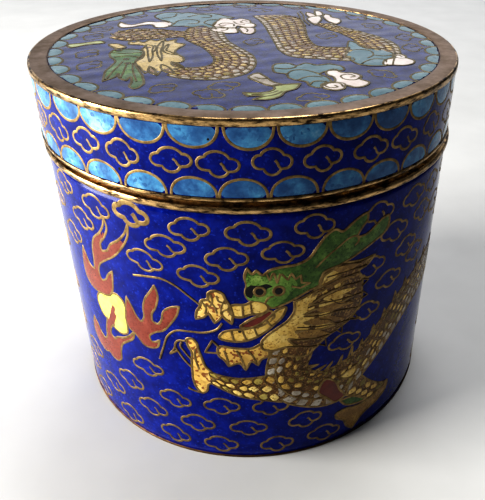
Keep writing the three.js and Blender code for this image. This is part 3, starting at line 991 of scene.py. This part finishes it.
dragonEyes = [(3.3, -32.3), (-0.1, -32.2)]


def moved(marks, shift):
    # Each mark plus the shift, with a third value kept.
    return [(mark[0] + shift[0], mark[1] + shift[1], *mark[2:]) for mark in marks]


def drawShape(part, enamel, level, marks, wire):
    # A crowned cell with a wire on its outline, or a flat one without, for a wire width of 0.
    outline = smoothCurve(marks, closed=True)
    addCell(part, enamel, outline, level=level, crown=0.03 if wire else 0.0, tone=rng.uniform(-0.05, 0.05))
    if wire:
        addWire(part, outline, wire, closed=True, lift=level)
    if part == "body":
        taken.append(outline)


def drawEye(part, centre, radius, wire, level):
    # A black disc ringed with wire: centre + r (cos a, sin a).
    turn = np.linspace(0, 2 * math.pi, 20, endpoint=False)
    ring = np.array(centre) + radius * np.stack([np.cos(turn), np.sin(turn)], 1)
    addStarCells(part, "black", np.array([centre], float), ring[None], level)
    addWire(part, ring, wire, closed=True, lift=level)


# Plans of scaled bands. The pitches are along the band in mm; belly and spineTall are shares of its width.
coilPlan = {
    "belly": 0.22, "platePitch": 2.35, "rows": 4, "scalePitch": 2.3, "thinning": 0.8, "pale": 0.45,
    "fill": 0.42, "square": 1.3, "light": 0.0, "first": "yellow", "second": "olive", "secondShare": 0.55,
    "spineFrom": 7, "spinePitch": 4.2, "spineLean": 0.6, "spineTall": 0.2,
}
limbPlan = {
    **coilPlan, "belly": 0, "rows": 3, "thinning": 0.0, "pale": 0.0, "fill": 0.47, "square": 1.5,
    "light": 0.2, "secondShare": 0.25, "spinePitch": 0,
}
topPlan = {
    "belly": 0.15, "platePitch": 1.9, "rows": 4, "scalePitch": 1.75, "thinning": 0.4, "pale": 0.5,
    "fill": 0.4, "square": 1.1, "light": 0.0, "first": "sand", "second": "olive", "secondShare": 0.3,
    "spinePitch": 0,
}
legShifts = [(0, 0), (78, 8.5), (118, 5)]  # the leg in front, and two more on the wave behind


def dragonOnWall():
    # The coil and its legs, then the drawn shapes and the open wires over them.
    wire = sizes["bodyWire"]
    scaledBand("body", bodyStations + waveOnBehind(), wire, coilPlan)
    scaledBand("body", foreArm, wire, limbPlan, level=0.05)
    for shift in legShifts:
        leg = [tuple(moved(pair, shift)) for pair in hindLeg]
        scaledBand("body", leg, wire, {**limbPlan, "rows": 2, "light": 0.0}, level=0.05)
        drawShape("body", "amber", 0.07, moved(hindFoot, shift), wire)
    for name, (enamel, level, marks) in dragonShapes.items():
        drawShape("body", enamel, level, marks, 0 if name in wireless else wire)
    for line in dragonLines:
        addWire("body", smoothCurve(line), wire * 0.8, lift=0.1)
    for line in maneLines:
        addWire("body", smoothCurve(line), wire * 0.55, lift=0.12, finish="dark wire")
    for eye in dragonEyes:
        drawEye("body", eye, 0.95, wire, 0.13)


topBodies = [
    # the neck and the first coil, the second coil, and the tail end beyond the right cloud
    [((-14, -20.6), (-13.4, -17)), ((-10.5, -22.9), (-11.2, -16.6)), ((-6.5, -23.3), (-8.8, -16.2)),
     ((-2.6, -22), (-6.9, -14.9)), ((0.3, -19), (-6.2, -12.8)), ((1.5, -14.5), (-6.3, -10.6)),
     ((1.2, -9.5), (-6.9, -8)), ((-0.4, -5.4), (-7.9, -5)), ((-2.4, -1.5), (-9.3, -2)),
     ((-4, 2.5), (-11.3, 0.8)), ((-4.8, 6.5), (-12.9, 4.2)), ((-5.3, 10), (-13.3, 8.6)),
     ((-6, 14), (-12.8, 13))],
    [((1.6, 24.6), (8.6, 26)), ((3, 20), (12.2, 22)), ((4, 15), (13, 16.5)), ((4.6, 10), (12.9, 11)),
     ((5.2, 5), (12.8, 5.5)), ((5.8, 0), (13.2, 1)), ((6.4, -5), (14, -1.6)), ((8.5, -9.5), (15.5, -3)),
     ((13, -11), (17.5, -3.4)), ((17.5, -12.2), (20, -3.2)), ((21.5, -12.5), (22, -3))],
    [((30, -8), (24, -5.4)), ((30.6, -3), (22.8, -1)), ((29.6, 2), (22.2, 3)), ((27, 6.5), (20.5, 7.5)),
     ((23.6, 11), (18.3, 11)), ((20.6, 14.5), (16.4, 14.5)), ((19.4, 17), (15.4, 17))],
]
topArm = [
    ((-28.5, 4.5), (-28, 9.4)), ((-25, 2.6), (-24.5, 12)), ((-20.5, 3.4), (-20, 12)),
    ((-16.5, 4.6), (-16, 10.5)), ((-12.5, 5), (-12.5, 9.5)),
]
topShapes = [
    ("turquoise", 0.03, [
        (-16, 14.5), (-18, 16), (-17.6, 18.5), (-20, 21), (-21.5, 24.5), (-20.5, 27), (-18, 28.3),
        (-15.5, 27.4), (-13.5, 28), (-11.5, 26.8), (-9, 27), (-6.5, 26), (-4.5, 24), (-3, 22.5),
        (-4.4, 21.5), (-6.5, 20), (-7, 17), (-8, 13), (-9.8, 14.8), (-12, 13.5), (-14, 14.5)]),
    ("white", 0.04, [
        (-28.6, 18.5, 1), (-28.4, 15), (-27.3, 13.3), (-25.4, 13.6), (-23, 15.6), (-21.2, 15.8),
        (-20, 13.6), (-18.4, 13.2), (-17, 15), (-16.5, 17), (-18.4, 18.5), (-20.5, 18.4), (-22.5, 18.8),
        (-24, 17.4), (-25.6, 15.8), (-27, 16.6)]),
    ("white", 0.05, [
        (-7.4, 17), (-6.6, 19.5), (-5.8, 22), (-4.4, 22.4), (-3.4, 20.6), (-1.2, 21.5), (0.6, 20),
        (1, 17.5), (2, 15.5), (1.4, 13.6), (-0.6, 13.6), (-2, 14.6), (-2.6, 12.6), (-4, 12), (-5.2, 13.4),
        (-7.4, 14.4)]),
    ("white", 0.05, [
        (-7.6, 12), (-7.8, 10.4), (-6, 9.2), (-4, 8.2), (-2.2, 8.4), (-2, 10.6), (-2.4, 12.4), (-3.6, 13),
        (-5, 12.4), (-6.4, 12.8)]),
    ("white", 0.05, [
        (-1.6, 12.8), (-1.4, 10.5), (-0.6, 8), (0.6, 7.4), (1.5, 8.6), (1.8, 11), (1.4, 13), (0, 13.4)]),
    ("turquoise", 0.03, [
        (5, -14.6), (4.6, -17), (5, -19.5), (6.8, -20.4), (7.2, -22.4), (8.6, -24), (10, -24.8),
        (10.4, -26.6), (12, -28), (13, -26.2), (14.2, -25), (14, -22.6), (12.8, -20.6), (14, -19),
        (17.4, -18.4), (17.2, -16), (15.4, -14.6), (12.8, -15.2), (10.8, -14), (9, -15.6), (7.6, -14)]),
    ("white", 0.05, [
        (14.2, -19), (15.8, -18), (16.8, -19.8), (18.8, -20.2), (20, -22), (19.6, -23.8), (20.8, -25.4),
        (19.8, -27.2), (18, -27.8), (16.6, -27), (16, -28.6), (14.4, -29.4), (12.8, -28.4), (12.4, -26.6),
        (13.6, -25.2), (14.6, -25), (15, -22.4), (14, -20.6)]),
    ("turquoise", 0.05, [
        (21.5, 1.5), (20.4, -2), (20, -5.5), (19, -9), (19.6, -12), (21, -15.2), (23.4, -16),
        (25.6, -15.6), (26.5, -12), (28, -10.5), (28.4, -7), (27, -4.8), (24.5, -4.6), (23, -2.5),
        (22.4, 0)]),
    ("white", 0.06, [
        (29.4, -8.2), (30.6, -9.4), (30.6, -11), (31.6, -12.6), (30.8, -14.8), (29, -15.8), (27, -15.4),
        (25.4, -15.4), (25.6, -13.4), (26.6, -11.8), (28.2, -11), (28.2, -9.4)]),
    ("white", 0.06, [
        (15.6, 15.2, 1), (14.6, 18.5), (14.2, 21.5), (15.2, 23.5), (17.2, 24.2), (17.6, 21.5),
        (16.8, 18.5)]),
    ("white", 0.05, [(15.2, 23.6), (14.3, 26.5), (14.7, 28.6, 1), (16, 26.7), (16.5, 24.4)]),
    ("white", 0.05, [(17, 24.6), (16.6, 27.5), (16.8, 30.2, 1), (18, 29.2), (18.4, 27), (18, 25)]),
    ("white", 0.06, [
        (18.3, 21.6), (18.3, 24.5), (19, 26.4, 1), (20, 25.2), (20.2, 22.6), (21.6, 21.6), (21.9, 19.4),
        (21.2, 17.2), (20.3, 16, 1), (19.4, 17.8), (18.6, 20)]),
    ("green", 0.04, [
        (-26.3, -6), (-25.9, -9), (-24.4, -12), (-24.6, -15), (-25, -18), (-24.8, -21), (-24.4, -24, 1),
        (-22.8, -21.5), (-22.6, -19.5), (-22, -22), (-20.6, -23.6, 1), (-20.2, -21.5), (-19.6, -24),
        (-19.4, -27), (-18.6, -27.8), (-17.6, -26), (-18, -22), (-19.2, -18), (-20.5, -14), (-20.6, -11),
        (-20, -8), (-20.4, -5), (-22.4, -4), (-24.4, -4.2), (-25.8, -4.6)]),
    ("sand", 0.03, [
        (-24, 2, 1), (-23.6, -0.4), (-21.6, -0.8), (-20.4, -1.5), (-20.6, -4), (-19.8, -7), (-19.8, -10),
        (-20.6, -13), (-19.4, -16), (-18, -19.6, 1), (-16.9, -17.2), (-15.8, -21, 1), (-15, -17.8),
        (-13, -20.4, 1), (-12.9, -17.8), (-11.8, -16, 1), (-13.4, -13.6), (-12.2, -12.8), (-12.1, -10),
        (-13.2, -8), (-14, -6), (-13.4, -3), (-12.6, -0.6), (-14.4, 0.6), (-14.6, 3.4, 1), (-16.4, 2),
        (-17.2, 4.8, 1), (-18.6, 2), (-20, 3, 1), (-21, 0.8), (-22.4, 2.4, 1), (-22.8, 1)]),
    ("sand", 0.06, [(-27.6, -0.4), (-26.2, -0.2), (-24.8, -1.4), (-24, -2.8), (-25.2, -3.8), (-26.6, -2.4)]),
    ("lime", 0.04, [(-35.8, -0.8), (-33, 0.5), (-29.4, 2), (-28.8, 1), (-31.4, -0.4), (-34.8, -2.6)]),
    ("stone", 0.05, [
        (0.2, -21.6), (1.8, -19.8), (3, -21.8), (4.4, -24.8), (5.8, -26.6), (4.4, -27), (2.2, -25)]),
    ("lime", 0.06, [
        (4.4, -26.6), (6.2, -26.4), (9, -25.8, 1), (7.8, -28.6), (6.2, -29.8), (5.2, -32), (3, -33.6),
        (0.8, -33.4, 1), (2.4, -32), (0, -31.8, 1), (-0.8, -30.2, 1), (1.4, -30.4), (3.4, -29.8),
        (4.4, -28.4)]),
    # the dark leaves in the mane
    ("bronze", 0.06, [
        (-19.9, -1), (-19.4, -5), (-18.8, -9), (-18, -13, 1), (-17.9, -9.5), (-18.5, -5), (-19.1, -1.5)]),
    ("bronze", 0.06, [
        (-17.2, 2), (-17.8, -2), (-17.5, -6), (-16.9, -9), (-15.9, -12.4, 1), (-16.2, -9), (-16.8, -5.5),
        (-16.8, -1.5)]),
    ("bronze", 0.06, [
        (-15.8, -0.3, 1), (-16.4, -3), (-16.4, -5.5), (-15, -7.5), (-13.2, -8.3, 1), (-14.4, -6.7),
        (-15.8, -5), (-15.7, -2.5)]),
    ("bronze", 0.06, [(-17.7, -15.4, 1), (-16.5, -17.5), (-16, -20.5, 1), (-17.5, -18.4)]),
    ("bronze", 0.06, [
        (-15.7, -14.2, 1), (-14.3, -16), (-13.3, -18.4), (-12.8, -20.2, 1), (-14.7, -18.4), (-15.6, -16.4)]),
    ("bronze", 0.06, [(-14, -12.6, 1), (-12.6, -14.2), (-11.5, -16.2, 1), (-13.1, -15.8), (-13.9, -14.2)]),
]
topLines = [
    [(-23, -12.5), (-23.6, -18), (-24.2, -23)], [(-22, -14), (-21.8, -19), (-21.8, -22)],
    [(-21, -13.5), (-20.3, -18), (-18.8, -24)], [(-26, -6.4), (-23.6, -7.2), (-20.3, -6.6)],
    [(-25, -9.6), (-22.8, -9), (-20.2, -9.6)], [(-18.4, -1.4), (-17.9, -4), (-18.3, -7)],
    # scrolls in the clouds
    [(-16.4, 16.4), (-15.4, 19.6), (-13, 20.6), (-11, 19.4), (-11.4, 16.8), (-13.2, 16.4)],
    [(-19.6, 22), (-17, 23.6), (-16.6, 26.4)],
    [(-13.8, 23.4), (-11, 25.6), (-8.4, 24.8), (-8.6, 22.8), (-10.6, 22.6)],
    [(-7.6, 15), (-9.6, 17.4), (-8.8, 20), (-6.8, 20.6)],
    [(-2.9, 14.2), (-3, 16.4), (-4.8, 17.2), (-6.2, 16), (-5.6, 14.6), (-4.6, 15.2)],
    [(1, 17), (-0.4, 17), (-1.4, 18.2), (-0.6, 19.4), (0.2, 18.6)], [(-3, 18.6), (-2.2, 16.6), (-0.4, 15.4)],
    [(-4, 12), (-4.6, 10.8), (-5.6, 10.4)], [(-0.4, 12.8), (0.2, 10.6), (0, 9)],
    [(13, -22.4), (11, -22), (9.4, -23), (8.6, -24)],
    [(7, -20.4), (8, -18.6), (10, -18.2), (11.6, -19.4), (12.8, -20.6)],
    [(5, -17), (6.8, -17.6), (8.6, -16.8), (9, -15.6)], [(10.4, -26.4), (11.4, -24.8), (13.6, -24.8)],
    [(20, -22), (18.4, -24.2), (16.6, -23.4), (16.4, -21.8), (17.8, -21), (18.8, -22.2), (17.9, -22.8)],
    [(16, -27.6), (15.6, -26), (14.2, -25.6), (13, -26.8), (13.6, -28.2), (15, -28), (14.6, -27)],
    [(16.6, -27), (16.2, -25.8), (14.8, -25)],
    [(20.2, -5.6), (22.4, -5.2), (24.2, -6), (24.4, -9), (23, -11)],
    [(26.4, -12), (24.6, -11.4), (22.8, -12.6), (21.2, -14.8)], [(24.4, -9), (26.4, -9.8), (28.2, -9)],
    [(30.6, -11), (29, -11.2), (28.4, -10), (29.4, -9.2), (29.8, -10.1)],
    [(28.2, -11), (27.6, -13), (27, -15.2)], [(1.2, -22.2), (2.2, -23.2), (3.4, -23)],
    [(0.6, -31.2), (3.4, -30.8), (5, -29.4)], [(1.4, -32.8), (4, -31.6), (5.6, -29.8)],
    [(13.2, 14.6), (12.8, 19), (12.6, 23), (12.4, 27.8)],
    [(14.2, 15.4), (13.4, 20), (13.6, 25), (13.2, 29.4)],
    [(-28.8, 8), (-26, 5.2), (-24, 7.6), (-21, 5), (-19, 8), (-16, 6)],
    [(-27.6, 10.4), (-24.8, 9), (-22.4, 11), (-19.6, 9.6), (-17, 10.6)],
]
topEyes = [((-25, -4.9), 0.62), ((-22.6, -11), 0.45), ((-21.9, -13.7), 0.45)]
topClouds = [
    (-14, -27.6, 0.9), (-6.3, -30.6, -0.5), (10.4, -32.6, 0.3), (24, -20.6, -0.9), (-30.6, -7, 1.2),
    (-28.6, -14.6, 1.2), (28.4, 14.6, -1.0), (1.4, 1.4, 1.4), (17, 6, 1.2), (-4, -26.6, 0.4), (-32, 5.6, 1.3),
    (-26, 24.4, 0.5), (-9.6, 32, 0.2), (3.4, 30.8, 0), (26, 22.4, -0.7), (-31.6, 11.8, 0.9), (33.6, 4.6, 1.4),
    (33.4, -3.6, 1.5), (-0.4, 35.4, 0.1), (12.6, 34, -0.3), (-18.6, 32.2, 0.4),
]


def dragonOnLid():
    # The scalloped border, the clouds, the scaled coils, then shapes and wires as on the wall.
    wire = sizes["topWire"]
    number = border["topCount"]
    rim = ringInner - sizes["ringFlatTo"]
    for k in range(number):
        # a scallop hangs inward from the rim: radius = rim - depth sin a, angle = middle + half cos a
        middle = 2 * math.pi * (k + rng.uniform(-0.05, 0.05)) / number
        half = (math.pi * rim / number - wire * 0.4) / rim
        a = np.linspace(0, math.pi, 18)
        radius = rim - border["topDepth"] * rng.uniform(0.92, 1.06) * np.sin(a) ** 0.8
        angle = middle + half * np.cos(a)
        arc = np.stack([radius * np.cos(angle), radius * np.sin(angle)], 1)
        back = middle + half * np.linspace(-1, 1, 9)[1:-1]
        side = rim * np.stack([np.cos(back), np.sin(back)], 1)
        addCell("top", "turquoise", np.vstack([arc, side]), tone=rng.uniform(-0.06, 0.06))
        addWire("top", arc, wire)
    for x, y, tilt in topClouds:
        addCloud("top", np.array((x, y)), *cloudSizes["top"], wire * 0.9, tilt)
    for stations in topBodies:
        scaledBand("top", stations, wire, topPlan)
    scaledBand("top", topArm, wire * 0.8, {**topPlan, "belly": 0, "rows": 5, "pale": 0.3, "fill": 0.28})
    for enamel, level, marks in topShapes:
        drawShape("top", enamel, level, marks, wire)
    for line in topLines:
        addWire("top", smoothCurve(line), wire * 0.85, lift=0.07)
    for centre, radius in topEyes:
        drawEye("top", centre, radius, wire * 0.8, 0.07)


def backClouds():
    # On the sides that the front drawing leaves free, clouds stand in staggered rows, clear of the figures.
    figures = np.vstack(taken)
    figures = np.vstack([figures, figures - (around, 0), figures + (around, 0)])
    clouds = np.array([*frontClouds, mendedCloud])
    clouds = np.vstack([clouds, clouds + (around, 0)])
    start, end, pitch = cloudSizes["rowFrom"], around - cloudSizes["rowTo"], cloudSizes["rowPitch"]
    for row, height in enumerate(cloudSizes["rows"]):
        for across in np.arange(start + pitch / 2 * (row % 2), end, pitch):
            spot = np.array((across, height)) + rng.uniform(-0.5, 0.5, 2)
            clear = (((figures - spot) / cloudSizes["roomByFigures"]) ** 2).sum(1).min() > 1
            if clear and (((clouds - spot) / cloudSizes["roomByClouds"]) ** 2).sum(1).min() > 1:
                addCloud("body", spot, *cloudSizes["wall"], sizes["bodyWire"])


lidBorder()
flamingPearl()
for spot in frontClouds:
    addCloud("body", np.array(spot), *cloudSizes["wall"], sizes["bodyWire"])
addCloud("body", np.array(mendedCloud), *cloudSizes["mended"], sizes["bodyWire"] * cloudSizes["mendedWire"])
dragonOnWall()
backClouds()
dragonOnLid()
print("ornament drawn")


def makePiece(name, piece):
    # A gathered piece becomes a mesh with its finishes, and its tones as an attribute.
    mesh = bpy.data.meshes.new(name)
    mesh.from_pydata((np.vstack(piece["points"]) * mm).tolist(), [], piece["faces"])
    kinds = sorted(set(piece["finishes"]))
    for kind in kinds:
        mesh.materials.append(finishes[kind])
    place = {kind: k for k, kind in enumerate(kinds)}
    mesh.polygons.foreach_set("material_index", [place[kind] for kind in piece["finishes"]])
    mesh.shade_smooth()
    tone = mesh.attributes.new("tone", "FLOAT", "POINT")
    tone.data.foreach_set("value", np.concatenate(piece["tones"]).astype(np.float32))
    built = bpy.data.objects.new(name, mesh)
    bpy.context.scene.collection.objects.link(built)
    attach(built, "root")
    return built


made = {name: makePiece(name, piece) for name, piece in pieces.items()}
standIns = {
    "body_ground": "body", "lid_ground": "lid", "foot_brass": "foot_ring", "mouth_brass": "mouth_ring",
    "lid_hem_brass": "lid_hem", "lid_top_brass": "lid_top_ring",
}
for name, node in standIns.items():
    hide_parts(node)
print("meshes", {name: len(piece["faces"]) for name, piece in pieces.items()})


def makeFloor():
    # A pale square 6 m across, a little uneven in tone.
    material, tree, place = startMaterial("pale plaster floor")
    grain = addNode(tree, "TexNoise", {"Vector": place, "Scale": 40.0, "Detail": 4.0})
    colour = addNode(tree, "ValToRGB", {"Fac": grain.outputs["Fac"]},
                     ramp=[(0.3, "c8c8c6"), (0.7, "d0d0ce")])
    shader = addNode(tree, "BsdfPrincipled", {"Base Color": colour.outputs["Color"], "Roughness": 0.55})
    finishMaterial(tree, shader)
    half = 3.0
    mesh = bpy.data.meshes.new("floor")
    corners = [(-half, -half, 0), (half, -half, 0), (half, half, 0), (-half, half, 0)]
    mesh.from_pydata(corners, [], [(0, 1, 2, 3)])
    mesh.materials.append(material)
    floor = bpy.data.objects.new("floor", mesh)
    bpy.context.scene.collection.objects.link(floor)


def aim(thing, place, target):
    # Puts a thing at a place with its -Z towards the target.
    direction = Vector(target) - Vector(place)
    thing.location = place
    thing.rotation_euler = direction.to_track_quat("-Z", "Y").to_euler()


lights = {
    "window": {"place": (-0.585, -0.11, 0.19), "size": (0.34, 0.36), "power": 9.6, "colour": "fdfbf7"},
    "back card": {"place": (-0.1, 1.1, 0.42), "size": (2.0, 0.7), "power": 3.4, "colour": "f4f6ff"},
    "overhead": {"place": (0.16, 0.4, 0.95), "size": (0.6, 0.5), "power": 5.6, "colour": "ffffff"},
}


def makeLights():
    # Soft rectangles that the camera doesn't see, and a dim even surround.
    for name, settings in lights.items():
        lamp = bpy.data.lights.new(name, "AREA")
        lamp.shape = "RECTANGLE"
        lamp.size, lamp.size_y = settings["size"]
        lamp.energy = settings["power"]
        lamp.color = linear(settings["colour"])[:3]
        holder = bpy.data.objects.new(name, lamp)
        holder.visible_camera = False
        bpy.context.scene.collection.objects.link(holder)
        aim(holder, settings["place"], (0, 0, 0.04))
    world = bpy.data.worlds.new("studio")
    bpy.context.scene.world = world
    world.use_nodes = True
    tree = world.node_tree
    tree.nodes.clear()
    background = addNode(tree, "Background", {"Color": linear("d8dce4"), "Strength": 0.08})
    addNode(tree, "OutputWorld", {"Surface": background.outputs["Background"]})


view = {
    "distance": 131.9,  # from the middle of the lid's top, in mm
    "elevation": 14.62,
    "dip": 17.81,  # how much further down it looks than at the lid's middle
    "yaw": -4.12,
    "roll": 0.9,
    "focal": 1.266,  # in picture widths
    "sensor": 36,
    "shift": (-0.098, -0.0206),
}


def makeCamera():
    # Out from the lid's middle by the distance at the elevation, looking down by the dip more.
    e, d = math.radians(view["elevation"]), math.radians(view["elevation"] + view["dip"])
    yaw, roll = math.radians(view["yaw"]), math.radians(view["roll"])
    turn = Matrix.Rotation(yaw, 3, "Z")
    place = Vector((0, -math.cos(e), math.sin(e))) * view["distance"] * mm + Vector((0, 0, topHeight * mm))
    forward = turn @ Vector((0, math.cos(d), -math.sin(d)))
    right = turn @ Vector((1, 0, 0))
    up = right.cross(forward)
    right, up = (math.cos(roll) * right + math.sin(roll) * up, -math.sin(roll) * right + math.cos(roll) * up)
    data = bpy.data.cameras.new("camera")
    data.sensor_fit = "HORIZONTAL"
    data.sensor_width = view["sensor"]
    data.lens = view["focal"] * view["sensor"]
    data.shift_x, data.shift_y = view["shift"]
    data.clip_start = 0.005
    camera = bpy.data.objects.new("camera", data)
    camera.matrix_world = Matrix((
        (right.x, up.x, -forward.x, place.x),
        (right.y, up.y, -forward.y, place.y),
        (right.z, up.z, -forward.z, place.z),
        (0, 0, 0, 1),
    ))
    bpy.context.scene.collection.objects.link(camera)
    bpy.context.scene.camera = camera


makeFloor()
makeLights()
makeCamera()
bpy.context.scene.view_settings.view_transform = "Standard"
bpy.context.scene.view_settings.look = "High Contrast"
print("floor, lights and camera set")
